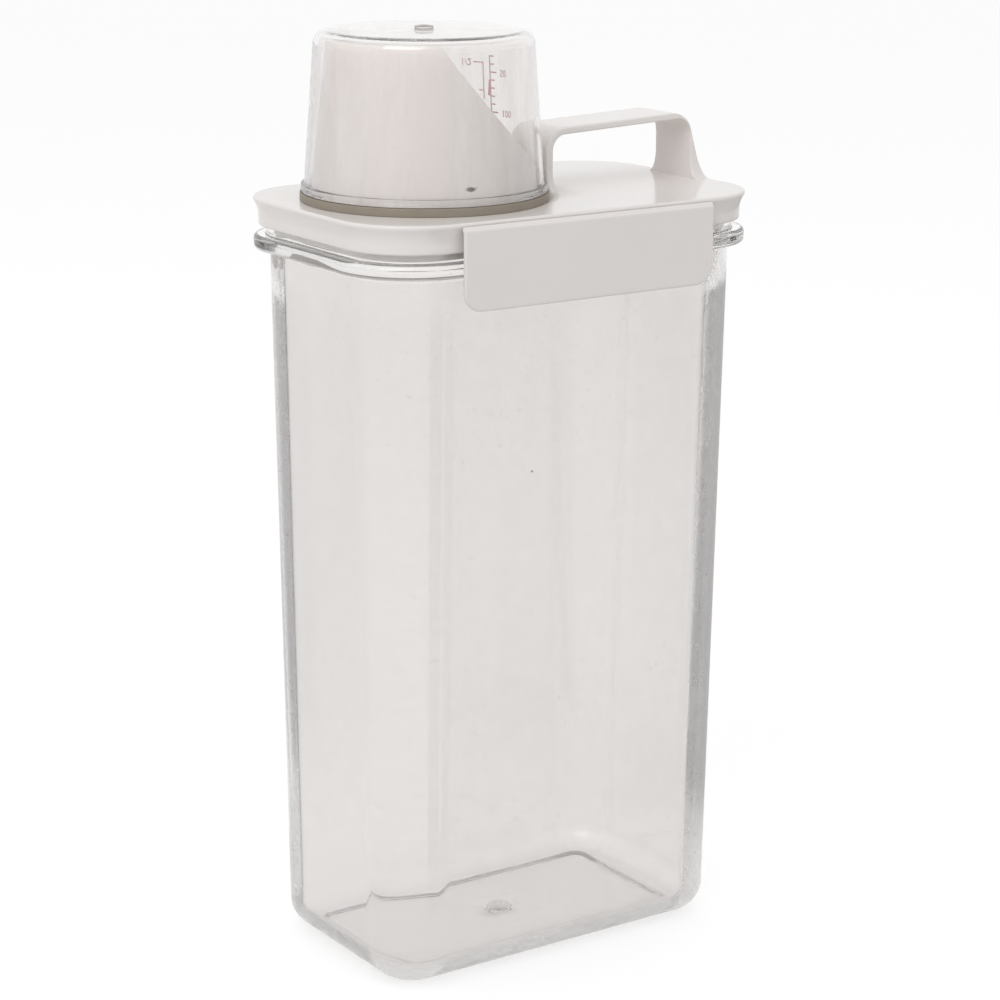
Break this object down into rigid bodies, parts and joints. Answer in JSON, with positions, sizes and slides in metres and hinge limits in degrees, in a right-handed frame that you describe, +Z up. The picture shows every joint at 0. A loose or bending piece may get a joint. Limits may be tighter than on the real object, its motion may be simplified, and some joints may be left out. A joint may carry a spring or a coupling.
{
  "type": "laundry detergent dispenser",
  "caption": "Tall clear plastic box for laundry detergent, with a white clip-on lid, a slanted pouring spout under a clear measuring cup, and a strap handle.",
  "frame": {"origin": "middle of the underside, on the surface that the container stands on", "axes": "+Z up; +X along the long side, from the cup to the handle; +Y from the front clip to the back clip"},
  "size_m": [0.1498, 0.1018, 0.3054],
  "materials": {
    "clear_styrene": "clear, polished",
    "white_polypropylene": "glossy warm white",
    "translucent_silicone": "satin",
    "grey_silicone": "satin taupe grey"
  },
  "bodies": {
    "container": {"container": "clear_styrene"},
    "lid": {"lid": "white_polypropylene", "lid_gasket": "translucent_silicone", "spout_seal": "grey_silicone"},
    "front_clip": {"front_clip": "white_polypropylene"},
    "back_clip": {"back_clip": "white_polypropylene"},
    "measuring_cup": {"measuring_cup": "clear_styrene"}
  },
  "joints": [
    {"name": "lid_lift", "type": "slide", "parent": "container", "child": "lid", "axis": [0, 0, 1], "range_m": [0, 0.06]},
    {"name": "front_clip_swing", "type": "hinge", "parent": "lid", "child": "front_clip", "pos_m": [0, -0.0494, 0.2492], "axis": [-1, 0, 0], "range_deg": [0, 120]},
    {"name": "back_clip_swing", "type": "hinge", "parent": "lid", "child": "back_clip", "pos_m": [0, 0.0494, 0.2492], "axis": [1, 0, 0], "range_deg": [0, 120]},
    {"name": "cup_lift", "type": "slide", "parent": "lid", "child": "measuring_cup", "axis": [0, 0, 1], "range_m": [0, 0.07]}
  ]
}
